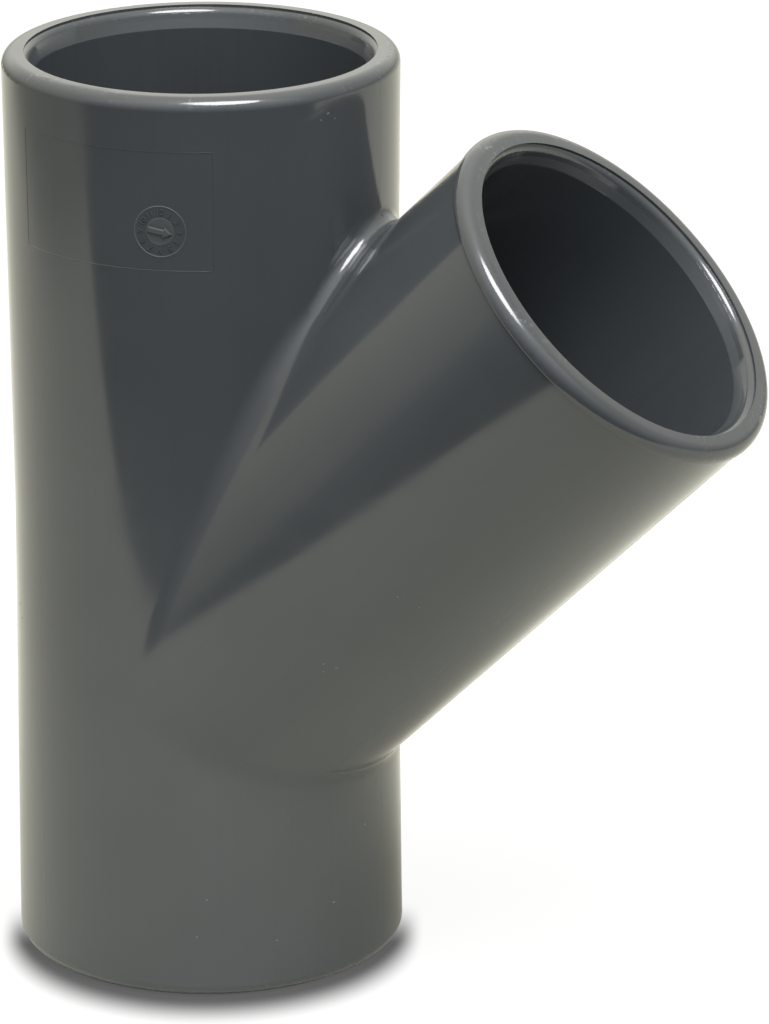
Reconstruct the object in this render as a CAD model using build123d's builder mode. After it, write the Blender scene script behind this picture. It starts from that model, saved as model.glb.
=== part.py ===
from build123d import *
import os
from math import cos, radians, sin, tan

# A 45 degree lateral wye for solvent-welded pressure pipe, moulded in one piece in PVC-U.
# The run stands on its lower mouth, its axis is Z, and the branch leaves it towards +X.
# The origin is the middle of the lower mouth's face. Lengths are in millimetres.

# What the sockets take
pipe_diameter = 50.0
pipe_clearance = 0.1
socket_depth = 31.0
branch_angle = 45.0

# Walls
socket_wall = 4.9
stop_height = 2.1
crotch_setback = 6.15
heel_setback = 2.85

# Draw of the outside, which is a little slimmer away from the mouths
waist_draw = 0.65
branch_inset = 0.1
core_inset = 0.3

# Blends and the turned detail of each mouth
junction_radius = 2.0
rim_radius = 2.0
rim_land = 0.3
rim_standing = 0.3
recess_depth = 0.4
lip_chamfer = 0.8
lead_in = 0.7
lead_length = 2.2

# Radii
bore_radius = pipe_diameter / 2 + pipe_clearance
mouth_radius = bore_radius + socket_wall
waist_radius = mouth_radius - waist_draw
passage_radius = bore_radius - stop_height
branch_passage_radius = passage_radius - core_inset
lead_radius = bore_radius + lead_in
recess_radius = lead_radius + lip_chamfer
lead_start = recess_depth + lip_chamfer
lead_end = lead_start + lead_length

# The stops stand clear of where the socket bores of the two legs would run into each other
half_angle = radians(branch_angle / 2)
long_reach = bore_radius / tan(half_angle) + crotch_setback
short_reach = bore_radius * tan(half_angle) + heel_setback
crossing_height = socket_depth + short_reach
run_length = crossing_height + long_reach + socket_depth
branch_length = long_reach + socket_depth

# Where the axes cross, the branch is a shade slimmer than the run, so its foot sinks into it
run_radius_at_crossing = mouth_radius - waist_draw * crossing_height / (run_length / 2)
branch_foot_radius = run_radius_at_crossing - branch_inset

# The branch's rim stands proud of it: a rounded edge, a narrow land, then a slope to the neck
rim_length = rim_radius + rim_land
branch_neck = rim_length + rim_standing
branch_neck_radius = mouth_radius - rim_standing

# Each leg has a plane through its axis, with y running out of its mouth and 0 in the mouth's face
lean = radians(branch_angle)
branch_direction = Vector(sin(lean), 0, cos(lean))
across_branch = Vector(cos(lean), 0, -sin(lean))
crossing = Vector(0, 0, crossing_height)
branch_mouth = crossing + branch_direction * branch_length

upper_plane = Plane(origin=(0, 0, run_length), x_dir=(1, 0, 0), z_dir=(0, -1, 0))
lower_plane = Plane(origin=(0, 0, 0), x_dir=(1, 0, 0), z_dir=(0, 1, 0))
branch_plane = Plane(origin=branch_mouth, x_dir=across_branch, z_dir=(0, -1, 0))
branch_axis = Axis(crossing, branch_direction)


def hollow(plane, inner_radius, reach):
    """Half section of a leg's hollow: recess, lip, lead-in, socket, pipe stop and passage."""
    with BuildSketch(plane) as section:
        with BuildLine():
            # It starts above the face, so that it cuts clean through it
            Polyline(
                (0, rim_radius),
                (recess_radius, rim_radius),
                (recess_radius, -recess_depth),
                (lead_radius, -lead_start),
                (bore_radius, -lead_end),
                (bore_radius, -socket_depth),
                (inner_radius, -socket_depth),
                (inner_radius, -reach),
                (0, -reach),
                close=True,
            )
        make_face()
    return section.sketch


with BuildPart() as wye_body:
    # The run: two shallow cones that meet at a waist, with rounded rims
    with BuildSketch(Plane.XZ) as run_section:
        with BuildLine():
            Polyline(
                (0, 0),
                (mouth_radius, 0),
                (waist_radius, run_length / 2),
                (mouth_radius, run_length),
                (0, run_length),
                close=True,
            )
        make_face()
        fillet(run_section.vertices().group_by(Axis.X)[-1], rim_radius)
    revolve(axis=Axis.Z)

    # The branch: one shallow cone from its foot, inside the run, to the rim that stands proud
    with BuildSketch(branch_plane) as branch_section:
        with BuildLine():
            Polyline(
                (0, 0),
                (mouth_radius, 0),
                (mouth_radius, -rim_length),
                (branch_neck_radius, -branch_neck),
                (branch_foot_radius, -branch_length),
                (0, -branch_length),
                close=True,
            )
        make_face()
        widest = branch_section.vertices().group_by(Axis.X)[-1]
        fillet(widest.sort_by(Axis.Y)[-1], rim_radius)
    revolve(axis=branch_axis)

    # The blend along the whole junction, from the crotch round both sides to the heel. All the
    # other edges are circles, or the straight seams of the cones
    turned_edges = (GeomType.CIRCLE, GeomType.LINE)
    junction = wye_body.edges().filter_by(lambda edge: edge.geom_type not in turned_edges)
    fillet(junction, junction_radius)

    # The hollows: the run's two halves meet at the crossing, where the branch's opens into them
    long_hollow = run_length - crossing_height
    revolve(hollow(upper_plane, passage_radius, long_hollow), axis=Axis.Z, mode=Mode.SUBTRACT)
    revolve(hollow(lower_plane, passage_radius, crossing_height), axis=Axis.Z, mode=Mode.SUBTRACT)
    branch_hollow = hollow(branch_plane, branch_passage_radius, branch_length)
    revolve(branch_hollow, axis=branch_axis, mode=Mode.SUBTRACT)

wye_body.part.label = "wye_body"

os.makedirs("parts", exist_ok=True)
export_step(wye_body.part, "parts/wye_body.step")
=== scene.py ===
from math import cos, hypot, pi, radians, sin, sqrt

import bmesh
import bpy
from mathutils import Matrix, Vector


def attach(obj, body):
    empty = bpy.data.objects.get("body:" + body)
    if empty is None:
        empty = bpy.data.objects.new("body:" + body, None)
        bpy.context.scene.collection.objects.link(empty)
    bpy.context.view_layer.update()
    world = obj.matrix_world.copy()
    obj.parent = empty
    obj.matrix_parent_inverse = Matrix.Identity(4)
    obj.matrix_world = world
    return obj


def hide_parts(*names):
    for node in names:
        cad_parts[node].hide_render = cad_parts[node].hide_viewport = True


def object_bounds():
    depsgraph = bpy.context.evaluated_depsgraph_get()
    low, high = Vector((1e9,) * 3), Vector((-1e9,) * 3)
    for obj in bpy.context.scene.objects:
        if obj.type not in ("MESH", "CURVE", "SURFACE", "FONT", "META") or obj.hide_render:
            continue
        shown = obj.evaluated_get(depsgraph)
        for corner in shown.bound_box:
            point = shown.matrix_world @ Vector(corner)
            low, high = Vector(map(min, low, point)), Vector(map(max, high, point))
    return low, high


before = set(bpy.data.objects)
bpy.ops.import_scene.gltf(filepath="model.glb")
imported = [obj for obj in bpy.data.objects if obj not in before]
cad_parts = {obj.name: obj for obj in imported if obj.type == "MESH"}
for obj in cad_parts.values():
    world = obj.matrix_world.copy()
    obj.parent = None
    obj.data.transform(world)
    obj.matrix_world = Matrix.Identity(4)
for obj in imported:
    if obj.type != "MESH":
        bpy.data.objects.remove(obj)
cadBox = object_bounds()
print("frame loaded, CAD box", cadBox)

# A 45 degree wye for solvent-welded pressure pipe, moulded in PVC-U. It stands on its lower
# mouth in a white light tent whose front is open. All lengths are in metres unless a note says so

# Settings that many nodes share. A Mix node takes its share in socket 0, numbers in 2 and 3,
# vectors in 4 and 5 and colours in 6 and 7. A Map Range node goes from 1 and 2 to 3 and 4
soft = {"interpolation_type": "SMOOTHSTEP"}
times = {"operation": "MULTIPLY"}
timesPlus = {"operation": "MULTIPLY_ADD"}
above = {"operation": "GREATER_THAN"}
below = {"operation": "LESS_THAN"}
larger = {"operation": "MAXIMUM"}
quotient = {"operation": "DIVIDE"}
minus = {"operation": "SUBTRACT"}
vectorLength = {"operation": "LENGTH"}
mixNumbers = {"data_type": "FLOAT"}
mixVectors = {"data_type": "VECTOR"}
mixColours = {"data_type": "RGBA"}


def hexToLinear(code):
    parts = [int(code[i : i + 2], 16) / 255 for i in (1, 3, 5)]
    return [p / 12.92 if p <= 0.04045 else ((p + 0.055) / 1.055) ** 2.4 for p in parts] + [1.0]


def addNode(tree, kind, settings=None, inputs=None):
    node = tree.nodes.new(kind)
    for name, value in (settings or {}).items():
        setattr(node, name, value)
    for name, value in (inputs or {}).items():  # a socket is linked, anything else is set
        if isinstance(value, bpy.types.NodeSocket):
            tree.links.new(value, node.inputs[name])
        else:
            node.inputs[name].default_value = value
    return node


def newMaterial(name):
    material = bpy.data.materials.new(name)
    material.use_nodes = True
    material.node_tree.nodes.clear()
    return material


def finishPiece(piece, material, *replaced):
    piece.data.materials.clear()
    piece.data.materials.append(material)
    if piece.name not in bpy.context.scene.collection.objects:
        bpy.context.scene.collection.objects.link(piece)
    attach(piece, "root")
    for node in replaced:
        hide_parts(node)
    return piece


def meshPiece(name, bm, smoothBelow=radians(35)):
    for face in bm.faces:
        face.smooth = True
    for edge in bm.edges:
        edge.smooth = len(edge.link_faces) == 2 and edge.calc_face_angle(pi) < smoothBelow
    mesh = bpy.data.meshes.new(name)
    bm.to_mesh(mesh)
    bm.free()
    return bpy.data.objects.new(name, mesh)


# The photograph's viewpoint: a long lens, a little above the fitting and to the right of its side
cameraView = {
    "azimuth": radians(25.970),  # from straight in front, towards the branch's side
    "elevation": radians(18.997),
    "roll": radians(-0.166),
    "distance": 0.931196,
    "aimAcross": 0.027369,  # the point it looks at, across the view and up from the base
    "aimHeight": 0.068257,
    "sensor": 36,  # this and the lens in millimetres
    "lens": 212.598,
}


def placeCamera(view):
    turn, lift, roll = view["azimuth"], view["elevation"], view["roll"]
    towards = Vector((sin(turn) * cos(lift), -cos(turn) * cos(lift), sin(lift)))
    across = Vector((cos(turn), sin(turn), 0))
    up = towards.cross(across)
    right = across * cos(roll) + up * sin(roll)
    top = up * cos(roll) - across * sin(roll)
    aim = across * view["aimAcross"] + Vector((0, 0, view["aimHeight"]))
    data = bpy.data.cameras.new("photoCamera")
    data.sensor_width = view["sensor"]
    data.lens = view["lens"]
    camera = bpy.data.objects.new("photoCamera", data)
    bpy.context.scene.collection.objects.link(camera)
    place = Matrix.Translation(aim + towards * view["distance"])
    camera.matrix_world = place @ Matrix((right, top, towards)).transposed().to_4x4()
    bpy.context.scene.camera = camera


placeCamera(cameraView)
print("camera placed")

# The tent's cloth glows. Each side has its level at these heights above the horizon, where 1 is
# white. front is its open side, towards the camera, and back is the wall behind the fitting
tent = {
    "heights": (-50, -12, 2, 15, 28, 42, 60, 90),  # in degrees
    "front": (0.05, 0.08, 0.38, 0.65, 1.15, 1.7, 2.2, 2.5),
    "left": (0.2, 0.35, 0.65, 1.0, 1.1, 1.3, 1.7, 2.5),
    "right": (0.1, 0.25, 0.4, 0.75, 0.8, 1.0, 1.5, 2.5),
    "back": (0.6, 0.65, 0.76, 1.5, 1.4, 1.35, 1.6, 2.5),
    "tints": {"front": "#FFFFFF", "left": "#FFF8E4", "right": "#FFFBEC", "back": "#FFFCF0"},
    "brightest": 4.0,  # the ramps hold the levels as shares of this
    "opening": radians(67.5),  # half the width of the open front
    "edge": radians(4),  # how soft the tent's front edge is
    "seam": 0.1,  # how far each way the left side turns into the right one, in radians
    "wallStart": radians(118),  # where the side walls begin to turn into the back wall
    "wallEnd": radians(170),
}


def buildTent(look, turn):
    world = bpy.data.worlds.new("lightTent")
    bpy.context.scene.world = world
    world.use_nodes = True
    tree = world.node_tree
    tree.nodes.clear()
    direction = addNode(tree, "ShaderNodeTexCoord").outputs["Generated"]
    turned = {"Vector": direction, "Rotation": (0, 0, -turn)}
    mapping = addNode(tree, "ShaderNodeMapping", None, turned)
    axes = addNode(tree, "ShaderNodeSeparateXYZ", None, {0: mapping.outputs[0]}).outputs
    forward = addNode(tree, "ShaderNodeMath", times, {0: axes[1], 1: -1.0}).outputs[0]
    angle = addNode(tree, "ShaderNodeMath", {"operation": "ARCTAN2"}, {0: axes[0], 1: forward})
    sideways = angle.outputs[0]
    lift = addNode(tree, "ShaderNodeMath", {"operation": "ARCSINE"}, {0: axes[2]})
    rising = {0: lift.outputs[0], 1: 1 / pi, 2: 0.5}  # 0 is straight down and 1 straight up
    height = addNode(tree, "ShaderNodeMath", timesPlus, rising)
    levels = {}
    brightest = look["brightest"]
    for side in ("front", "left", "right", "back"):
        ramp = addNode(tree, "ShaderNodeValToRGB", None, {0: height.outputs[0]})
        points = ramp.color_ramp.elements
        while len(points) < len(look["heights"]):
            points.new(0.5)
        tint = hexToLinear(look["tints"][side])
        for point, degree, level in zip(points, look["heights"], look[side]):
            point.position = degree / 180 + 0.5
            point.color = [level / brightest * part for part in tint[:3]] + [1.0]
        levels[side] = ramp.outputs[0]
    away = addNode(tree, "ShaderNodeMath", {"operation": "ABSOLUTE"}, {0: sideways}).outputs[0]
    seam = {0: sideways, 1: -look["seam"], 2: look["seam"]}
    onRight = addNode(tree, "ShaderNodeMapRange", soft, seam)
    near, far = look["opening"] - look["edge"], look["opening"] + look["edge"]
    inside = addNode(tree, "ShaderNodeMapRange", soft, {0: away, 1: near, 2: far})
    corners = {0: away, 1: look["wallStart"], 2: look["wallEnd"]}
    behind = addNode(tree, "ShaderNodeMapRange", soft, corners)
    leftOrRight = {0: onRight.outputs[0], 6: levels["left"], 7: levels["right"]}
    sides = addNode(tree, "ShaderNodeMix", mixColours, leftOrRight)
    sideOrBack = {0: behind.outputs[0], 6: sides.outputs[2], 7: levels["back"]}
    walls = addNode(tree, "ShaderNodeMix", mixColours, sideOrBack)
    frontOrWall = {0: inside.outputs[0], 6: levels["front"], 7: walls.outputs[2]}
    tentLight = addNode(tree, "ShaderNodeMix", mixColours, frontOrWall)
    lit = addNode(tree, "ShaderNodeBackground", None, {0: tentLight.outputs[2], 1: brightest})
    white = addNode(tree, "ShaderNodeBackground", None, {0: (1, 1, 1, 1), 1: 1.0})
    # The camera sees plain white. The gloss sees the tent, whose open side gives its dark bands
    seen = addNode(tree, "ShaderNodeLightPath").outputs["Is Camera Ray"]
    either = {0: seen, 1: lit.outputs[0], 2: white.outputs[0]}
    shown = addNode(tree, "ShaderNodeMixShader", None, either)
    addNode(tree, "ShaderNodeOutputWorld", None, {0: shown.outputs[0]})


buildTent(tent, cameraView["azimuth"])

# The lamp: a small softbox high on the right, which gives the sharp streaks on the rounded rims
softbox = {
    "side": radians(21),
    "height": radians(63),
    "distance": 0.8,
    "aimHeight": 0.14,  # it faces the fitting's axis at this height
    "size": 0.44,
    "level": 18.0,  # how bright its cloth is, where 1 is white
}


def buildSoftbox(lamp, turn):
    side, height = turn + lamp["side"], lamp["height"]
    towards = Vector((sin(side) * cos(height), -cos(side) * cos(height), sin(height)))
    data = bpy.data.lights.new("softbox", "AREA")
    data.shape = "DISK"
    data.size = lamp["size"]
    data.energy = lamp["level"] * pi * pi * (lamp["size"] / 2) ** 2  # the power for that level
    light = bpy.data.objects.new("softbox", data)
    bpy.context.scene.collection.objects.link(light)
    place = Matrix.Translation(Vector((0, 0, lamp["aimHeight"])) + towards * lamp["distance"])
    light.matrix_world = place @ towards.to_track_quat("Z", "Y").to_matrix().to_4x4()


buildSoftbox(softbox, cameraView["azimuth"])

# The sheet of white paper it stands on, which ends 17 to 19 cm in front of the fitting's axis
paperFloor = {
    "front": [(-3.0, 0.168), (-0.17, 0.171), (-0.08, 0.188), (3.0, 0.19)],  # as (across, near)
    "reach": 3.0,
    "colour": "#C5C5BB",  # as the fitting's gloss sees it
    "seenColour": (0.85, 0.85, 0.85, 1),  # as the camera sees it in the wide shadow
    "foot": 0.0295,  # radius of the ring that it stands on
    # The contact shadow is painted: the paper's colour and white glow darken near the foot
    "contact": (0.0003, 0.0040),  # where its contact shadow starts and ends
    "contactLevel": 0.12,  # how much light is left in that shadow beside the foot
    "contactTurn": (-0.3, 0.32),  # it fades out towards the sides: sines of the angles
    "foreshortening": 3.07,  # how much the low view shortens what runs towards it
    "shadowShare": 0.1,  # how much of the wide shadow is seen on the white
    # The paper's left end is darkened with painted shade in its colour
    "dimStart": -0.34,  # where the paper begins to lose light towards its left end
    "dimEnd": -0.46,
    "dimLevel": 0.5,
}


def buildFloor(paper, turn):
    bm = bmesh.new()
    columns = len(paper["front"]) - 1
    bmesh.ops.create_grid(bm, x_segments=columns, y_segments=1, size=paper["reach"])
    near = sorted((v for v in bm.verts if v.co.y < 0), key=lambda v: v.co.x)
    far = sorted((v for v in bm.verts if v.co.y > 0), key=lambda v: v.co.x)
    for nearVert, farVert, (across, reach) in zip(near, far, paper["front"]):
        nearVert.co.x = farVert.co.x = across
        nearVert.co.y = -reach
    toView = Matrix.Rotation(turn, 3, "Z")
    bmesh.ops.rotate(bm, verts=bm.verts, cent=(0, 0, 0), matrix=toView)
    floor = meshPiece("paperFloor", bm)
    bpy.context.scene.collection.objects.link(floor)
    material = newMaterial("mattWhitePaper")
    tree = material.node_tree
    place = addNode(tree, "ShaderNodeTexCoord").outputs["Object"]
    unturn = {"Vector": place, "Rotation": (0, 0, -turn)}
    turned = addNode(tree, "ShaderNodeMapping", None, unturn).outputs[0]
    axes = addNode(tree, "ShaderNodeSeparateXYZ", None, {0: turned}).outputs
    # Painted shade: the colour that the gloss sees darkens towards the paper's left end
    ends = {0: axes[0], 1: paper["dimEnd"], 2: paper["dimStart"], 3: paper["dimLevel"], 4: 1.0}
    dimmed = addNode(tree, "ShaderNodeMapRange", soft, ends).outputs[0]
    # Painted contact shadow, darkening the paper by its distance from the foot
    # The contact shadow is as wide in front of the foot as the low view makes it look beside it
    measured = addNode(tree, "ShaderNodeVectorMath", vectorLength, {0: turned})
    radius = measured.outputs["Value"]
    stretch = {0: turned, 1: (1, paper["foreshortening"], 1)}
    drawn = addNode(tree, "ShaderNodeVectorMath", times, stretch)
    length = addNode(tree, "ShaderNodeVectorMath", vectorLength, {0: drawn.outputs[0]})
    outside = addNode(tree, "ShaderNodeMath", minus, {0: radius, 1: paper["foot"]})
    share = addNode(tree, "ShaderNodeMath", quotient, {0: radius, 1: length.outputs["Value"]})
    gap = addNode(tree, "ShaderNodeMath", times, {0: outside.outputs[0], 1: share.outputs[0]})
    start, end = paper["contact"]
    contact = {0: gap.outputs[0], 1: start, 2: end, 3: 1 - paper["contactLevel"], 4: 0.0}
    close = addNode(tree, "ShaderNodeMapRange", soft, contact).outputs[0]
    depth = addNode(tree, "ShaderNodeMath", quotient, {0: axes[1], 1: radius}).outputs[0]
    start, end = paper["contactTurn"]
    inFront = addNode(tree, "ShaderNodeMapRange", soft, {0: depth, 1: -start, 2: -end}).outputs[0]
    fading = addNode(tree, "ShaderNodeMath", times, {0: close, 1: inFront}).outputs[0]
    shade = addNode(tree, "ShaderNodeMath", minus, {0: 1.0, 1: fading}).outputs[0]
    tinted = {"data_type": "RGBA", "blend_type": "MULTIPLY"}
    dimPaper = {0: 1.0, 6: hexToLinear(paper["colour"]), 7: dimmed}
    unseenPaper = addNode(tree, "ShaderNodeMix", tinted, dimPaper)
    shadedPaper = {0: 1.0, 6: paper["seenColour"], 7: shade}
    seenPaper = addNode(tree, "ShaderNodeMix", tinted, shadedPaper)
    sheet = addNode(tree, "ShaderNodeBsdfDiffuse", None, {"Color": unseenPaper.outputs[2]})
    shadowed = addNode(tree, "ShaderNodeBsdfDiffuse", None, {"Color": seenPaper.outputs[2]})
    glow = {"Color": (1, 1, 1, 1), "Strength": shade}
    white = addNode(tree, "ShaderNodeEmission", None, glow)
    shares = {0: paper["shadowShare"], 1: white.outputs[0], 2: shadowed.outputs[0]}
    look = addNode(tree, "ShaderNodeMixShader", None, shares)
    # As in the tent, only the camera sees the white, and the gloss sees the paper
    seen = addNode(tree, "ShaderNodeLightPath").outputs["Is Camera Ray"]
    either = {0: seen, 1: sheet.outputs[0], 2: look.outputs[0]}
    both = addNode(tree, "ShaderNodeMixShader", None, either)
    addNode(tree, "ShaderNodeOutputMaterial", None, {0: both.outputs[0]})
    floor.data.materials.append(material)


buildFloor(paperFloor, cameraView["azimuth"])
print("studio built")

# The fitting's own sizes, as the CAD has them. Each leg has a frame whose Z runs out of its mouth
# and whose origin is in the mouth's face
fitting = {
    "runLength": 0.1419935,
    "crossing": 0.0442468,  # height at which the axes cross
    "branchLength": 0.0977468,
    "mouthRadius": 0.030,
    "waistDraw": 0.00065,
    "neckRadius": 0.0297,
    "neck": 0.0026,  # how far behind the branch's mouth its straight side starts
    "footRadius": 0.029495,
    "recessRadius": 0.0266,
    "recessDepth": 0.0004,
    "leadRadius": 0.0258,
    "leadStart": 0.0012,
    "leadEnd": 0.0034,
    "waistBlend": 0.02,  # over how much of its height the run's side turns at the waist
}
slant = sqrt(0.5)  # sine and cosine of the branch's 45 degrees
legs = {
    "upper": Matrix.Translation((0, 0, fitting["runLength"])),
    "lower": Matrix.Rotation(pi, 4, "X"),
    "branch": Matrix.Translation(
        (fitting["branchLength"] * slant, 0, fitting["crossing"] + fitting["branchLength"] * slant)
    )
    @ Matrix.Rotation(pi / 4, 4, "Y"),
}


def runRadius(height):
    half = fitting["runLength"] / 2
    return fitting["mouthRadius"] - fitting["waistDraw"] * (1 - abs(height - half) / half)


def branchRadius(depth):
    share = (depth - fitting["neck"]) / (fitting["branchLength"] - fitting["neck"])
    return fitting["neckRadius"] + (fitting["footRadius"] - fitting["neckRadius"]) * share


def runPlace(angle, height):  # on the run's side: x goes round it, y up it and z out of it
    out = Vector((sin(angle), -cos(angle), 0))
    around = Vector((cos(angle), sin(angle), 0))
    turned = Matrix((around, Vector((0, 0, 1)), out)).transposed().to_4x4()
    return Matrix.Translation(out * runRadius(height) + Vector((0, 0, height))) @ turned


def branchPlace(angle, depth):  # on the branch's side, from its front towards its underside
    out = Vector((sin(angle), -cos(angle), 0))
    around = Vector((cos(angle), sin(angle), 0))
    turned = Matrix((around, Vector((0, 0, 1)), out)).transposed().to_4x4()
    spot = Matrix.Translation(out * branchRadius(depth) + Vector((0, 0, -depth)))
    return legs["branch"] @ spot @ turned


# Injection-moulded PVC-U: dense, opaque, dark grey, with the polish of the mould's steel on it, so
# it mirrors the tent with crisp edges. Handling has scuffed the mouths' faces to a paler, matt grey
pvcLook = {
    "grey": "#393D40",
    "shade": "#34383B",  # the same grey where the melt flowed a little darker
    "scuff": "#6A6F6E",
    "scuffShare": 0.55,  # how far the strongest scuffs turn to that colour
    "speck": "#8A8F8C",
    "roughness": 0.10,
    "smudge": 0.06,  # how much rougher fingermarks make it
    "matt": 0.02,  # how much rougher the mouths' faces are
    "leadMatt": 0.22,  # and the lead-ins, which the cores drag on as they leave
    "ior": 1.53,
    "cloudSize": 0.030,  # clouds in the colour, 30 mm across
    "cloudRange": (0.35, 0.65),  # the part of the noise that shows, here and below
    "cloudShare": 0.55,  # how far the darkest clouds turn to the shade
    "smudgeSize": 0.009,  # fingermarks, 9 mm across
    "smudgeRange": (0.4, 0.75),
    "flowWidth": 0.0011,  # flow lines, 1.1 mm wide and 30 mm long
    "flowLength": 0.030,
    "flowRange": (0.45, 0.75),
    "flowShares": (0.05, 0.45),  # how dark the faintest and the strongest of them are
    "drag": (0.35, 0.7),  # how much of that shows outside, and in a bore, where the core drags
    "waveSize": 0.014,  # where the thick wall has sunk: waves 14 mm long and 0.009 mm high
    "waveHeight": 0.000009,
    "peelSize": 0.0013,  # orange peel, 1.3 mm across and 0.0008 mm high
    "peelHeight": 0.0000008,
    "speckSpacing": 0.0075,  # pinhead specks, in cells of 7.5 mm
    "speckSize": 0.0001,  # their radius
    "speckEdge": (1.6, 0.6),  # their soft edge, as shares of that radius
    "speckCells": 0.6,  # this share of the cells has none
    "scuffSize": 0.0007,  # scuffs in grains of 0.7 mm: real ones are too fine to show
    "scuffRange": (0.52, 0.7),
    "patchRange": (0.5, 0.75),  # and the patches that they come in
    "details": {"cloud": 3.0, "smudge": 4.0, "scuff": 5.0, "wave": 0.0, "peel": 1.0},
    "faceZone": (0.0022, 0.0004),  # behind a mouth's face: where wear begins and where it is full
    "runReach": 0.0302,  # a point farther than this from the run's axis is on the branch
    "boreReach": 0.0272,  # a point nearer than this to its leg's axis is in a mouth
    "leadReach": (0.02514, 0.02556),  # and between these it is on the lead-in
}


def buildPvc(look):
    material = newMaterial("mouldedPvcU")
    tree = material.node_tree
    place = addNode(tree, "ShaderNodeTexCoord").outputs["Object"]
    axes = addNode(tree, "ShaderNodeSeparateXYZ", None, {0: place}).outputs
    level = addNode(tree, "ShaderNodeCombineXYZ", None, {0: axes[0], 1: axes[1]})
    fromRun = addNode(tree, "ShaderNodeVectorMath", vectorLength, {0: level.outputs[0]})
    runRing = fromRun.outputs["Value"]

    # The branch's own frame: its axis becomes Z, from where the axes cross
    drop = fitting["crossing"] * slant
    settings = {"Vector": place, "Location": (drop, 0, -drop), "Rotation": (0, -pi / 4, 0)}
    branchFrame = addNode(tree, "ShaderNodeMapping", None, settings).outputs[0]
    branchAxes = addNode(tree, "ShaderNodeSeparateXYZ", None, {0: branchFrame}).outputs
    flat = addNode(tree, "ShaderNodeCombineXYZ", None, {0: branchAxes[0], 1: branchAxes[1]})
    fromBranch = addNode(tree, "ShaderNodeVectorMath", vectorLength, {0: flat.outputs[0]})
    branchRing = fromBranch.outputs["Value"]

    # How near a point is to a mouth's face, and whether it is in a mouth and on its lead-in
    top, end = fitting["runLength"], fitting["branchLength"]
    start, full = look["faceZone"]
    upper = addNode(tree, "ShaderNodeMapRange", soft, {0: axes[2], 1: top - start, 2: top - full})
    lower = addNode(tree, "ShaderNodeMapRange", soft, {0: axes[2], 1: start, 2: full})
    atBranch = {0: branchAxes[2], 1: end - start, 2: end - full}
    outer = addNode(tree, "ShaderNodeMapRange", soft, atBranch)
    ends = addNode(tree, "ShaderNodeMath", larger, {0: upper.outputs[0], 1: lower.outputs[0]})
    rim = addNode(tree, "ShaderNodeMath", larger, {0: ends.outputs[0], 1: outer.outputs[0]})
    onBranch = addNode(tree, "ShaderNodeMath", above, {0: runRing, 1: look["runReach"]})
    rings = {0: onBranch.outputs[0], 2: runRing, 3: branchRing}
    ring = addNode(tree, "ShaderNodeMix", mixNumbers, rings).outputs[0]
    bore = addNode(tree, "ShaderNodeMath", below, {0: ring, 1: look["boreReach"]})
    least, most = look["leadReach"]
    narrow = addNode(tree, "ShaderNodeMath", below, {0: ring, 1: most})
    wide = addNode(tree, "ShaderNodeMath", above, {0: ring, 1: least})
    leadIn = addNode(tree, "ShaderNodeMath", times, {0: narrow.outputs[0], 1: wide.outputs[0]})

    # Flow lines and drag marks run along whichever leg the point is on
    frames = {0: onBranch.outputs[0], 4: place, 5: branchFrame}
    legFrame = addNode(tree, "ShaderNodeMix", mixVectors, frames)
    stretch = (1, 1, look["flowWidth"] / look["flowLength"])
    drawn = addNode(tree, "ShaderNodeVectorMath", times, {0: legFrame.outputs[1], 1: stretch})
    flowing = {"Vector": drawn.outputs[0], "Scale": 1 / look["flowWidth"], "Detail": 2.0}
    flow = addNode(tree, "ShaderNodeTexNoise", None, flowing)
    noises = {}
    for name, detail in look["details"].items():
        pattern = {"Vector": place, "Scale": 1 / look[name + "Size"], "Detail": detail}
        noises[name] = addNode(tree, "ShaderNodeTexNoise", None, pattern).outputs[0]
    cells = {"Vector": place, "Scale": 1 / look["speckSpacing"]}
    specks = addNode(tree, "ShaderNodeTexVoronoi", None, cells)

    low, high = look["cloudRange"]
    clouds = {0: noises["cloud"], 1: low, 2: high, 3: 0.0, 4: look["cloudShare"]}
    mottle = addNode(tree, "ShaderNodeMapRange", soft, clouds)
    low, high = look["flowRange"]
    faint, strong = look["flowShares"]
    flows = {0: flow.outputs[0], 1: low, 2: high, 3: faint, 4: strong}
    lines = addNode(tree, "ShaderNodeMapRange", soft, flows)
    outside, inBore = look["drag"]
    drags = {0: bore.outputs[0], 2: outside, 3: inBore}
    dragged = addNode(tree, "ShaderNodeMix", mixNumbers, drags)
    clamped = {"operation": "MULTIPLY_ADD", "use_clamp": True}
    tones = {0: lines.outputs[0], 1: dragged.outputs[0], 2: mottle.outputs[0]}
    tone = addNode(tree, "ShaderNodeMath", clamped, tones)
    greys = {0: tone.outputs[0], 6: hexToLinear(look["grey"]), 7: hexToLinear(look["shade"])}
    body = addNode(tree, "ShaderNodeMix", mixColours, greys)

    # Scuffs: broken pale patches on the mouths' faces, where the fitting was stood and knocked
    low, high = look["patchRange"]
    spread = {0: noises["smudge"], 1: low, 2: high, 3: 0.0, 4: look["scuffShare"]}
    patches = addNode(tree, "ShaderNodeMapRange", soft, spread)
    low, high = look["scuffRange"]
    grains = addNode(tree, "ShaderNodeMapRange", soft, {0: noises["scuff"], 1: low, 2: high})
    grainy = {0: patches.outputs[0], 1: grains.outputs[0]}
    broken = addNode(tree, "ShaderNodeMath", times, grainy)
    scuffed = addNode(tree, "ShaderNodeMath", times, {0: broken.outputs[0], 1: rim.outputs[0]})
    paler = {0: scuffed.outputs[0], 6: body.outputs[2], 7: hexToLinear(look["scuff"])}
    worn = addNode(tree, "ShaderNodeMix", mixColours, paler)

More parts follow.
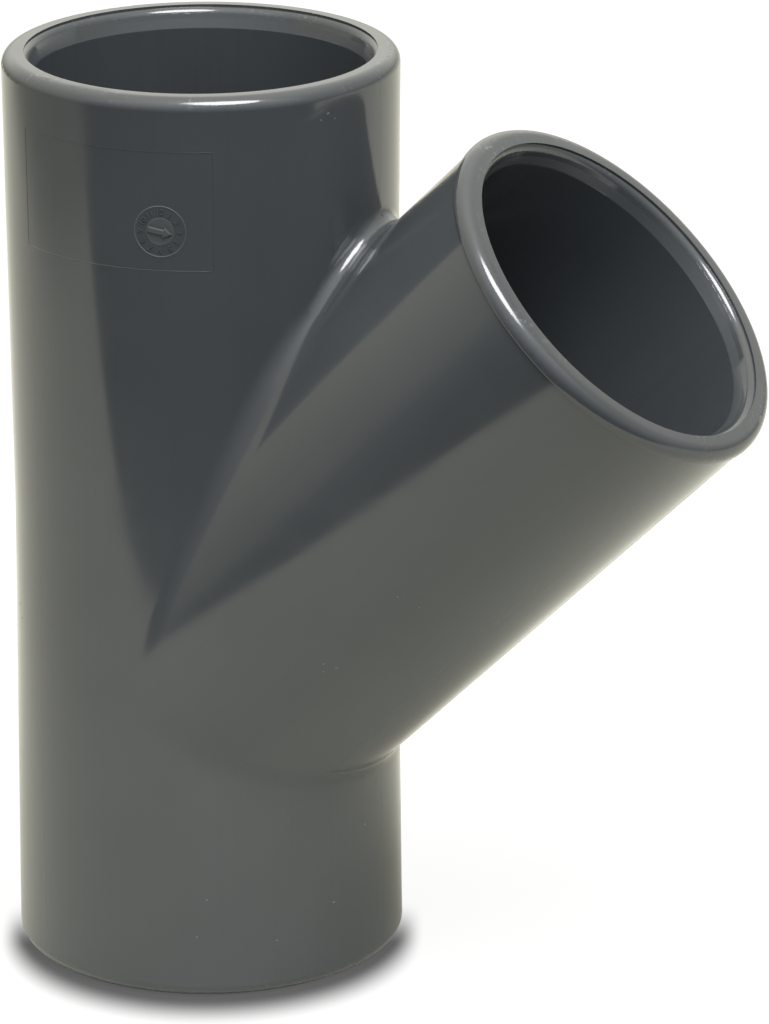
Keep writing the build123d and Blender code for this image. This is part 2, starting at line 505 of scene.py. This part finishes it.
    # Pinhead specks: some cells of the pattern have one
    size = look["speckSize"] / look["speckSpacing"]
    edge, core = look["speckEdge"]
    fade = {0: specks.outputs["Distance"], 1: size * edge, 2: size * core}
    dot = addNode(tree, "ShaderNodeMapRange", soft, fade)
    cell = addNode(tree, "ShaderNodeSeparateColor", None, {0: specks.outputs["Color"]})
    chosen = addNode(tree, "ShaderNodeMath", above, {0: cell.outputs[0], 1: look["speckCells"]})
    speckled = addNode(tree, "ShaderNodeMath", times, {0: dot.outputs[0], 1: chosen.outputs[0]})
    spotted = {0: speckled.outputs[0], 6: worn.outputs[2], 7: hexToLinear(look["speck"])}
    colour = addNode(tree, "ShaderNodeMix", mixColours, spotted)

    low, high = look["smudgeRange"]
    smooth, smudged = look["roughness"], look["roughness"] + look["smudge"]
    touched = {0: noises["smudge"], 1: low, 2: high, 3: smooth, 4: smudged}
    rough = addNode(tree, "ShaderNodeMapRange", soft, touched)
    onRim = {0: rim.outputs[0], 1: look["matt"], 2: rough.outputs[0]}
    rougher = addNode(tree, "ShaderNodeMath", timesPlus, onRim)
    onLead = {0: leadIn.outputs[0], 1: look["leadMatt"], 2: rougher.outputs[0]}
    matted = addNode(tree, "ShaderNodeMath", timesPlus, onLead)

    ripple = addNode(tree, "ShaderNodeMath", times, {0: noises["peel"], 1: look["peelHeight"]})
    relief = {0: noises["wave"], 1: look["waveHeight"], 2: ripple.outputs[0]}
    height = addNode(tree, "ShaderNodeMath", timesPlus, relief)
    raised = {"Strength": 1.0, "Distance": 1.0, "Height": height.outputs[0]}
    bump = addNode(tree, "ShaderNodeBump", None, raised)

    shader = addNode(
        tree,
        "ShaderNodeBsdfPrincipled",
        None,
        {
            "Base Color": colour.outputs[2],
            "Roughness": matted.outputs[0],
            "IOR": look["ior"],
            "Normal": bump.outputs[0],
        },
    )
    addNode(tree, "ShaderNodeOutputMaterial", None, {0: shader.outputs[0]})
    return material


# Bruised PVC-U: where a knock has raised a burr, the grey turns pale and matt. Its torn grain is
# drawn at 0.3 mm, because the real one is too fine to show
bruiseLook = {
    "grey": "#6C716F",
    "dark": "#4A4F50",
    "roughness": 0.4,
    "ior": 1.53,
    "grain": 0.0003,
}

# The same PVC-U off the spark-eroded steel of the dial: a fine matt grain, so it looks paler. The
# grain is drawn at 0.12 mm, a little coarser than the real one
erodedLook = {
    "grey": "#3F4446",
    "dark": "#363B3D",
    "roughness": 0.34,
    "ior": 1.53,
    "grain": 0.00012,
}


def buildGrained(name, look):
    material = newMaterial(name)
    tree = material.node_tree
    place = addNode(tree, "ShaderNodeTexCoord").outputs["Object"]
    pattern = {"Vector": place, "Scale": 1 / look["grain"], "Detail": 2.0}
    grain = addNode(tree, "ShaderNodeTexNoise", None, pattern)
    greys = {0: grain.outputs[0], 6: hexToLinear(look["dark"]), 7: hexToLinear(look["grey"])}
    colour = addNode(tree, "ShaderNodeMix", mixColours, greys)
    finish = {
        "Base Color": colour.outputs[2],
        "Roughness": look["roughness"],
        "IOR": look["ior"],
    }
    shader = addNode(tree, "ShaderNodeBsdfPrincipled", None, finish)
    addNode(tree, "ShaderNodeOutputMaterial", None, {0: shader.outputs[0]})
    return material


pvc = buildPvc(pvcLook)
bruise = buildGrained("bruisedPvcU", bruiseLook)
eroded = buildGrained("erodedPvcU", erodedLook)
print("materials built")


# Where the legs meet, the mould was polished to a softer hollow than the CAD's fillet. It fades
# out towards the crotch, and on the other side it runs on under the branch to the heel
junction = {
    "hollow": 0.0050,  # radius of the hollow between the crotch and the side
    "least": 0.0015,  # half its width where the legs only just cross
    "under": 0.0024,  # half its width under the branch
    "atHeel": 0.0016,  # and at the heel
    "heelZone": (0.018, 0.030),  # how far out one of those widths turns into the other
    "halfway": 0.414,  # slope of the line that parts the crotch's side from the heel's
    "starts": (radians(2), radians(7)),  # half the angle between the sides where it begins
    "gone": (radians(38), radians(66)),  # and where it fades out towards the crotch
    "endGap": 0.003,  # how far it keeps from the run's ends
    "mouthGap": 0.012,  # and from the branch's mouth
    "band": (-0.0004, 0.0012),  # how far out of the ideal sides the CAD's points lie there
    "behind": 0.0035,  # how far behind the plane X = 0 points go out to the round side
    "grain": 0.0008,  # edge length of the mesh there
    "spare": 0.0003,  # how much wider than the hollow the fine mesh is
    "testStep": 0.0015,  # how far apart an edge is tested
    "rounds": 7,
    "reached": 0.0000005,  # a point that is no deeper than this stays where it is
    "sliver": 0.0001,  # edges shorter than this are merged away
}

# Exact normals for the sides, so that the long highlights run without a kink
shading = {
    "crisp": radians(28),  # sharper edges than this stay crisp
    "runGap": 0.0018,  # how far from its ends the run's side is straight
    "branchSide": (0.00255, 0.09),  # the depths between which the branch's side is straight
    "neckSlope": (0.0022, 0.0027),  # and those of the slope behind its rim
    "neckLean": 0.3,  # how far back that slope looks
    "onSide": 0.000006,  # how near a point is to a side to count as on it
    "onHollow": 0.000004,
    "alike": 0.9,  # cosine of the widest turn that a normal may take
}


def sidesAt(point, sizes):
    # Distances outside the run's and the branch's sides, both sides' directions, and the depth
    # behind the branch's mouth
    toBranch, branchTurn = legs["branch"].inverted(), legs["branch"].to_3x3()
    half = sizes["runLength"] / 2
    flare = sizes["waistDraw"] / half
    length = sizes["branchLength"] - sizes["neck"]
    taper = (sizes["neckRadius"] - sizes["footRadius"]) / length
    ring = max(hypot(point.x, point.y), 1e-6)
    side = toBranch @ point
    branchRing = max(hypot(side.x, side.y), 1e-6)
    reach = (point.z - half) / sizes["waistBlend"]
    lean = -flare * reach / sqrt(1 + reach * reach)
    runOut = Vector((point.x / ring, point.y / ring, lean)).normalized()
    aside = Vector((side.x / branchRing, side.y / branchRing, -taper))
    branchOut = (branchTurn @ aside).normalized()
    outRun, outBranch = ring - runRadius(point.z), branchRing - branchRadius(-side.z)
    return outRun, outBranch, runOut, branchOut, -side.z


def smoothStep(value, start, end):
    share = min(max((value - start) / (end - start), 0), 1)
    return share * share * (3 - 2 * share)


def hollowWidth(point, runOut, branchOut, look):
    halfAngle = runOut.angle(branchOut, 0.0) / 2
    if point.z > fitting["crossing"] + abs(point.x) * look["halfway"]:
        wide = max(look["hollow"] * sin(halfAngle) / cos(halfAngle), look["least"])
        wide *= 1 - smoothStep(halfAngle, *look["gone"])
    else:
        towardsHeel = smoothStep(point.x, *look["heelZone"])
        wide = look["under"] + (look["atHeel"] - look["under"]) * towardsHeel
    return wide * smoothStep(halfAngle, *look["starts"]) * sin(2 * halfAngle)


def besideJunction(point, sizes, look, behind):
    # Whether a point is on the outside near the junction, clear of the rims
    outRun, outBranch, runOut, branchOut, depth = sidesAt(point, sizes)
    clear = look["endGap"] < point.z < sizes["runLength"] - look["endGap"]
    low, high = look["band"]
    onOutside = low < min(outRun, outBranch) < high
    return clear and depth > look["mouthGap"] and point.x > -behind and onOutside


def ontoHollow(point, sizes, look):
    # How far a point lies outside the hollow's surface, the way out of it there, and whether it is
    # in the hollow
    outRun, outBranch, runOut, branchOut, depth = sidesAt(point, sizes)
    if point.x < 0:
        return outRun, runOut, False
    width = hollowWidth(point, runOut, branchOut, look)
    if width < 1e-6 or abs(outRun - outBranch) >= width:
        return min(outRun, outBranch), runOut if outRun < outBranch else branchOut, False
    share = 0.5 + 0.5 * (outBranch - outRun) / width
    inside = min(outRun, outBranch) - (width - abs(outRun - outBranch)) ** 2 / (4 * width)
    return inside, runOut * share + branchOut * (1 - share), True


def inHollow(point, sizes, look):
    outRun, outBranch, runOut, branchOut, depth = sidesAt(point, sizes)
    low, high = look["band"]
    nearest = min(outRun, outBranch)
    if point.x < 0 or depth < look["mouthGap"] or nearest < low or nearest > high:
        return False
    width = hollowWidth(point, runOut, branchOut, look) + look["spare"]
    return abs(outRun - outBranch) < width


def buildBody(sizes, look, shades, material):
    # A merged copy of the CAD body, so that it shades without a break along the CAD's seams
    bm = bmesh.new()
    bm.from_mesh(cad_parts["wye_body"].data)
    bmesh.ops.remove_doubles(bm, verts=bm.verts, dist=0.000002)
    for step in range(look["rounds"]):
        coarse = []
        for edge in bm.edges:
            length = edge.calc_length()
            if length < look["grain"]:
                continue
            first, last = edge.verts[0].co, edge.verts[1].co
            tests = max(int(length / look["testStep"]), 2)
            spots = (first.lerp(last, i / tests) for i in range(tests + 1))
            if any(inHollow(spot, sizes, look) for spot in spots):
                coarse.append(edge)
        if not coarse:
            break
        bmesh.ops.subdivide_edges(bm, edges=coarse, cuts=1)
        bmesh.ops.triangulate(bm, faces=[face for face in bm.faces if len(face.verts) > 3])
    print("junction refined to", len(bm.faces), "faces")
    # Points go out to the true round sides and the hollow between them, and slivers are merged
    for turn in range(2):
        near = [v for v in bm.verts if besideJunction(v.co, sizes, look, look["behind"])]
        for vert in near:
            for step in range(4):
                inside, out, hollow = ontoHollow(vert.co, sizes, look)
                if inside > -look["reached"]:
                    break
                vert.co -= out * (inside / out.length_squared)
        if turn == 0:
            edges = list({edge for vert in near for edge in vert.link_edges})
            bmesh.ops.dissolve_degenerate(bm, dist=look["sliver"], edges=edges)
            bmesh.ops.triangulate(bm, faces=[face for face in bm.faces if len(face.verts) > 3])
    # A face that the push has turned over loses its shortest edge
    bm.normal_update()
    folded = []
    for face in bm.faces:
        spot = face.calc_center_median()
        if not besideJunction(spot, sizes, look, 0):
            continue
        if face.normal.dot(ontoHollow(spot, sizes, look)[1]) < 0:
            folded.append(face)
    shortest = {min(face.edges, key=lambda edge: edge.calc_length()) for face in folded}
    bmesh.ops.collapse(bm, edges=list(shortest))
    body = meshPiece("wyeBody", bm, shades["crisp"])
    mesh = body.data
    for name in ("custom_normal", "sharp_face"):
        if name in mesh.attributes:
            mesh.attributes.remove(mesh.attributes[name])
    # The end of each lead-in is a crisp edge, though a slight one
    for place in legs.values():
        toLeg = place.inverted()
        ends = []
        for vert in mesh.vertices:
            spot = toLeg @ vert.co
            atEnd = abs(spot.z + sizes["leadEnd"]) < 1e-5
            ends.append(atEnd and hypot(spot.x, spot.y) < sizes["leadRadius"])
        for edge in mesh.edges:
            if ends[edge.vertices[0]] and ends[edge.vertices[1]]:
                edge.use_edge_sharp = True
    # The long sides get their exact slopes, and the run's turns gently at its waist
    normals = [normal.vector.copy() for normal in mesh.corner_normals]
    branchAxis = legs["branch"].to_3x3() @ Vector((0, 0, 1))
    runGap, (sideStart, sideEnd) = shades["runGap"], shades["branchSide"]
    slopeStart, slopeEnd = shades["neckSlope"]
    for face in mesh.polygons:
        outRun, outBranch, runOut, branchOut, depth = sidesAt(face.center, sizes)
        facesBack = outBranch > -0.0005 and face.normal.dot(branchAxis) < -0.5
        onNeck = slopeStart < depth < slopeEnd and facesBack
        for i in face.loop_indices:
            vertex = mesh.loops[i].vertex_index
            point = mesh.vertices[vertex].co
            outRun, outBranch, runOut, branchOut, depth = sidesAt(point, sizes)
            if onNeck:  # the slope behind the branch's rim is worn soft
                normals[i] = (branchOut - branchAxis * shades["neckLean"]).normalized()
                continue
            inside, out, hollow = ontoHollow(point, sizes, look)
            onRun = runGap < point.z < sizes["runLength"] - runGap
            if hollow and depth > look["mouthGap"] and abs(inside) < shades["onHollow"]:
                exact = out.normalized()
            elif onRun and abs(outRun) < shades["onSide"]:
                exact = runOut
            elif sideStart < depth < sideEnd and abs(outBranch) < shades["onSide"]:
                exact = branchOut
            else:
                continue
            if normals[i].dot(exact) > shades["alike"]:
                normals[i] = exact
    mesh.normals_split_custom_set(normals)
    return finishPiece(body, material, "wye_body")


body = buildBody(fitting, junction, shading, pvc)
print("body built")

# The rounded lip at the inner edge of each mouth, which the CAD has as a chamfer. It is seated on
# that chamfer, and runs into the lead-in below it
socketLip = {
    "steps": 186,
    "corner": (0.026004, -0.000612),  # where the tangents at the lip's two ends meet
    "root": (0.02645, -0.00105),  # inside the wall
    "round": 0.0006,
    "segments": 8,
}


def buildLip(name, place, look, sizes, material):
    bm = bmesh.new()
    section = [
        (sizes["recessRadius"], -sizes["recessDepth"]),
        look["corner"],
        (sizes["leadRadius"], -sizes["leadStart"]),
        look["root"],
    ]
    points = [bm.verts.new((radius, 0, height)) for radius, height in section]
    sides = [bm.edges.new((points[i], points[(i + 1) % 4])) for i in range(4)]
    bmesh.ops.spin(
        bm,
        geom=points + sides,
        cent=(0, 0, 0),
        axis=(0, 0, 1),
        angle=2 * pi,
        steps=look["steps"],
        use_merge=True,
    )
    bmesh.ops.remove_doubles(bm, verts=bm.verts, dist=0.0000005)
    bmesh.ops.recalc_face_normals(bm, faces=bm.faces)
    radius, height = look["corner"]

    def onCrest(vert):
        return abs(hypot(vert.co.x, vert.co.y) - radius) < 1e-6 and abs(vert.co.z - height) < 1e-6

    bmesh.ops.bevel(
        bm,
        geom=[edge for edge in bm.edges if all(onCrest(vert) for vert in edge.verts)],
        offset=look["round"],
        segments=look["segments"],
        profile=0.5,
        affect="EDGES",
        material=-1,
    )
    bmesh.ops.transform(bm, matrix=place, verts=bm.verts)
    return finishPiece(meshPiece(name, bm, smoothBelow=radians(20)), material)


for leg, place in legs.items():
    buildLip(leg + "SocketLip", place, socketLip, fitting, pvc)
print("socket lips built")

# The parting line: the thread of flash that the two halves of the mould leave in the plane Y = 0
partingLine = {
    "thread": 0.00006,  # its radius
    "sunk": 0.000045,  # how deep its middle lies
    "outside": 0.0286,  # nearer a leg's axis than this, a cut through the body is inside it
    "endGap": 0.0012,  # how far it ends from a mouth's face
}


def beadPiece(name, paths, thread, closed, material):
    curve = bpy.data.curves.new(name, "CURVE")
    curve.dimensions = "3D"
    curve.bevel_depth = thread
    curve.bevel_resolution = 1
    curve.use_fill_caps = not closed
    for path in paths:
        line = curve.splines.new("POLY")
        line.points.add(len(path) - 1)
        for point, co in zip(line.points, path):
            point.co = (co[0], co[1], co[2], 1)
        line.use_cyclic_u = closed
    shape = bpy.data.objects.new(name + "Path", curve)
    mesh = bpy.data.meshes.new_from_object(shape)
    bpy.data.objects.remove(shape)
    bm = bmesh.new()
    bm.from_mesh(mesh)
    bpy.data.meshes.remove(mesh)
    bmesh.ops.remove_doubles(bm, verts=bm.verts, dist=0.000001)
    bmesh.ops.recalc_face_normals(bm, faces=bm.faces)
    return finishPiece(meshPiece(name, bm, smoothBelow=radians(60)), material)


def buildPartingLine(look, sizes, material):
    bm = bmesh.new()
    bm.from_mesh(body.data)
    bmesh.ops.bisect_plane(
        bm,
        geom=bm.verts[:] + bm.edges[:] + bm.faces[:],
        dist=1e-7,
        plane_co=(0, 0, 0),
        plane_no=(0, 1, 0),
        clear_inner=True,
        clear_outer=True,
    )
    toBranch = legs["branch"].inverted()
    boxLeft, boxRight = cadBox[0].x, cadBox[1].x
    limit = look["thread"] - look["sunk"]
    endGap = look["endGap"]

    def outside(vert):
        point = vert.co
        side = toBranch @ point
        if point.z < endGap or point.z > sizes["runLength"] - endGap or side.z > -endGap:
            return False
        if point.x < boxLeft + limit or point.x > boxRight - limit:
            return False
        offBranch = point.x < 0 or abs(side.x) > look["outside"]
        return abs(point.x) > look["outside"] and offBranch

    keep = {vert for vert in bm.verts if outside(vert)}
    nextTo = {}
    for vert in keep:
        others = [edge.other_vert(vert) for edge in vert.link_edges]
        nextTo[vert] = [other for other in others if other in keep]
    paths = []
    starts = sorted((v for v in keep if len(nextTo[v]) == 1), key=lambda v: (v.co.x, v.co.z))
    used = set()
    for start in starts:
        if start in used:
            continue
        chain = [start]
        used.add(start)
        while True:
            ahead = [v for v in nextTo[chain[-1]] if v not in used]
            if not ahead:
                break
            chain.append(ahead[0])
            used.add(ahead[0])
        # Each point goes in along the outline's own normal, so that only a thread stands out
        path = []
        for i, vert in enumerate(chain):
            along = chain[min(i + 1, len(chain) - 1)].co - chain[max(i - 1, 0)].co
            inward = Vector((-along.z, 0, along.x)).normalized()
            if abs(vert.co.x) < sizes["mouthRadius"]:
                middle = Vector((0, 0, vert.co.z))
            else:
                middle = legs["branch"] @ Vector((0, 0, (toBranch @ vert.co).z))
            if inward.dot(middle - vert.co) < 0:
                inward = -inward
            path.append(vert.co + inward * look["sunk"])
        paths.append(path)
    bm.free()
    print("parting line:", len(paths), "threads of", [len(path) for path in paths], "points")
    return beadPiece("partingLine", paths, look["thread"], False, material)


buildPartingLine(partingLine, fitting, pvc)

# The exchangeable plate in the mould leaves a fine raised outline on the run
insertOutline = {
    "left": radians(-33.1),
    "right": radians(30.6),
    "bottom": 0.1159,
    "top": 0.1340,
    "thread": 0.00006,
    "sunk": 0.00004,
    "stepsAcross": 48,
    "stepsUp": 12,
}


def buildInsertOutline(look, material):
    corners = [
        (look["left"], look["bottom"]),
        (look["right"], look["bottom"]),
        (look["right"], look["top"]),
        (look["left"], look["top"]),
    ]
    path = []
    for i, (angle, height) in enumerate(corners):
        nextAngle, nextHeight = corners[(i + 1) % 4]
        steps = look["stepsAcross"] if i % 2 == 0 else look["stepsUp"]
        for step in range(steps):
            share = step / steps
            turn = angle + (nextAngle - angle) * share
            spot = runPlace(turn, height + (nextHeight - height) * share)
            path.append(spot @ Vector((0, 0, -look["sunk"])))
    return beadPiece("insertOutline", [path], look["thread"], True, material)


buildInsertOutline(insertOutline, pvc)
print("insert outline built")

# The date dial: a ring of plain numbers round a turnable plug with an arrow
dateDial = {
    "angle": radians(15.5),
    "height": 0.1219,
    "sunk": -0.00015,  # where its pieces start, inside the wall
    "outer": 0.00395,
    "ringWidth": 0.00018,
    "ringHeight": 0.00005,
    "ringSteps": 72,
    "plug": 0.00200,
    "plugWidth": 0.00022,
    "plugHeight": 0.00004,
    "plugSteps": 48,
    "pinhole": 0.00005,  # it keeps the spin of the plug's dish off its axis
    "dishMiddle": 0.000012,  # the dish's height in the middle
    "dishSide": 0.000016,  # and at this share of the plug's radius
    "dishShare": 0.72,
    "dishLip": 0.9,  # the dish meets the plug's ring at this share of its height
    "numbers": 12,
    "numberSize": 0.00125,
    "numberRadius": 0.00292,
    "numberHeight": 0.00009,
    "arrowLength": 0.0036,
    "arrowShaft": 0.00040,  # half its width
    "arrowHead": 0.00088,
    "headLength": 0.0013,
    "arrowHeight": 0.00034,
    "arrowRound": 0.00022,
    "arrowTurn": radians(-12),
}


def wrapOnRun(bm, angle, height):
    # Bends flat work, x across, y up and z out, onto the run's round side
    for vert in bm.verts:
        across, up, out = vert.co
        spot = runPlace(angle + across / runRadius(height), height + up)
        vert.co = spot @ Vector((0, 0, out))


def ringSection(bm, profile, steps):
    points = [bm.verts.new((radius, 0, height)) for radius, height in profile]
    sides = [bm.edges.new((points[i], points[i + 1])) for i in range(len(points) - 1)]
    bmesh.ops.spin(
        bm,
        geom=points + sides,
        cent=(0, 0, 0),
        axis=(0, 0, 1),
        angle=2 * pi,
        steps=steps,
        use_merge=True,
    )


def buildDial(look, material):
    # Outer ring, and the plug's ring with its shallow dish
    bm = bmesh.new()
    width, rise = look["ringWidth"] / 2, look["ringHeight"]
    outer, sunk = look["outer"] - width, look["sunk"]
    ring = [
        (outer - width, sunk),
        (outer - width, 0),
        (outer, rise),
        (outer + width, 0),
        (outer + width, sunk),
    ]
    ringSection(bm, ring + ring[:1], look["ringSteps"])
    width, rise, plug = look["plugWidth"] / 2, look["plugHeight"], look["plug"]
    dish = [
        (look["pinhole"], sunk),
        (look["pinhole"], look["dishMiddle"]),
        (plug * look["dishShare"], look["dishSide"]),
        (plug - width, rise * look["dishLip"]),
        (plug, rise),
        (plug + width, 0),
        (plug + width, sunk),
    ]
    ringSection(bm, dish + dish[:1], look["plugSteps"])
    bmesh.ops.remove_doubles(bm, verts=bm.verts, dist=0.0000008)
    bmesh.ops.recalc_face_normals(bm, faces=bm.faces)
    wrapOnRun(bm, look["angle"], look["height"])
    finishPiece(meshPiece("dateDialRings", bm, smoothBelow=radians(40)), material)

    # The arrow: half a flat outline drawn out, mirrored, raised and rounded along its top
    bm = bmesh.new()
    half = look["arrowLength"] / 2
    neck = half - look["headLength"]
    outline = [
        (-half, 0),
        (-half, look["arrowShaft"]),
        (neck, look["arrowShaft"]),
        (neck, look["arrowHead"]),
        (half, 0),
    ]
    lower = bm.faces.new([bm.verts.new((x, y, sunk)) for x, y in outline])
    flat = [lower] + lower.edges[:] + lower.verts[:]
    bmesh.ops.mirror(bm, geom=flat, matrix=Matrix(), merge_dist=1e-7, axis="Y")
    bmesh.ops.dissolve_edges(bm, edges=[e for e in bm.edges if len(e.link_faces) == 2])
    raised = bmesh.ops.extrude_face_region(bm, geom=bm.faces[:])["geom"]
    top = [g for g in raised if isinstance(g, bmesh.types.BMVert)]
    bmesh.ops.translate(bm, verts=top, vec=(0, 0, look["arrowHeight"] - sunk))
    bmesh.ops.recalc_face_normals(bm, faces=bm.faces)
    bmesh.ops.bevel(
        bm,
        geom=[e for e in bm.edges if all(v in top for v in e.verts)],
        offset=look["arrowRound"],
        segments=4,
        profile=0.5,
        affect="EDGES",
        material=-1,
        clamp_overlap=True,
    )
    turned = Matrix.Rotation(look["arrowTurn"], 3, "Z")
    bmesh.ops.rotate(bm, verts=bm.verts, cent=(0, 0, 0), matrix=turned)
    wrapOnRun(bm, look["angle"], look["height"])
    finishPiece(meshPiece("dateDialArrow", bm, smoothBelow=radians(50)), material)

    # The numbers stand round the ring with their feet to the middle
    bm = bmesh.new()
    for number in range(1, look["numbers"] + 1):
        text = bpy.data.curves.new("dialNumber", "FONT")
        text.body = str(number)
        text.size = look["numberSize"]
        text.align_x = "CENTER"
        text.align_y = "CENTER"
        text.extrude = look["numberHeight"]
        text.resolution_u = 3
        figure = bpy.data.objects.new("dialNumber", text)
        mesh = bpy.data.meshes.new_from_object(figure)
        bpy.data.objects.remove(figure)
        turn = -2 * pi * number / look["numbers"]
        spot = Matrix.Rotation(turn, 4, "Z") @ Matrix.Translation((0, look["numberRadius"], 0))
        mesh.transform(spot)
        bm.from_mesh(mesh)
        bpy.data.meshes.remove(mesh)
    bmesh.ops.remove_doubles(bm, verts=bm.verts, dist=0.0000005)
    bmesh.ops.recalc_face_normals(bm, faces=bm.faces)
    wrapOnRun(bm, look["angle"], look["height"])
    finishPiece(meshPiece("dateDialNumbers", bm, smoothBelow=radians(30)), material)


buildDial(dateDial, eroded)
print("date dial built")

# Knocks and nicks on the sides, each as its place, its length and width in millimetres, and its
# lean in degrees. On the run the place is an angle in degrees and a height in millimetres, on the
# branch an angle and a depth from its mouth
knocks = {
    "run": [
        (66.5, 12.8, 0.5, 0.2, 10),
        (23.2, 10.1, 0.35, 0.2, 60),
        (47.0, 8.7, 0.4, 0.15, -30),
        (26.3, 16.2, 0.3, 0.2, 0),
        (57.4, 50.1, 0.5, 0.15, 70),
        (79.9, 37.2, 0.45, 0.2, 5),
        (-50.5, 55.9, 0.5, 0.2, 80),
        (-47.8, 54.1, 0.35, 0.2, 40),
        (66.0, 138.0, 0.6, 0.25, 15),
        (63.5, 137.2, 0.4, 0.2, -40),
        (68.5, 137.0, 0.35, 0.15, 30),
    ],
    "branch": [
        (28.3, 65.1, 0.5, 0.15, 75),
        (32.0, 64.4, 0.6, 0.15, 40),
        (27.9, 47.5, 0.5, 0.18, 0),
        (30.1, 66.3, 0.3, 0.15, -20),
        (35.0, 47.0, 0.3, 0.15, 20),
    ],
    "proud": 0.000018,
}


def buildKnocks(look, material):
    bm = bmesh.new()
    for leg, placeOf in (("run", runPlace), ("branch", branchPlace)):
        for angle, reach, length, width, lean in look[leg]:
            ball = bmesh.ops.create_uvsphere(bm, u_segments=10, v_segments=6, radius=0.5)["verts"]
            size = (length / 1000, width / 1000, 2 * look["proud"])
            bmesh.ops.scale(bm, verts=ball, vec=size)
            leaning = Matrix.Rotation(radians(lean), 3, "Z")
            bmesh.ops.rotate(bm, verts=ball, cent=(0, 0, 0), matrix=leaning)
            bmesh.ops.transform(bm, matrix=placeOf(radians(angle), reach / 1000), verts=ball)
    return finishPiece(meshPiece("knocks", bm, smoothBelow=radians(60)), material)


buildKnocks(knocks, bruise)
print("knocks built")

bpy.context.scene.view_settings.view_transform = "Standard"
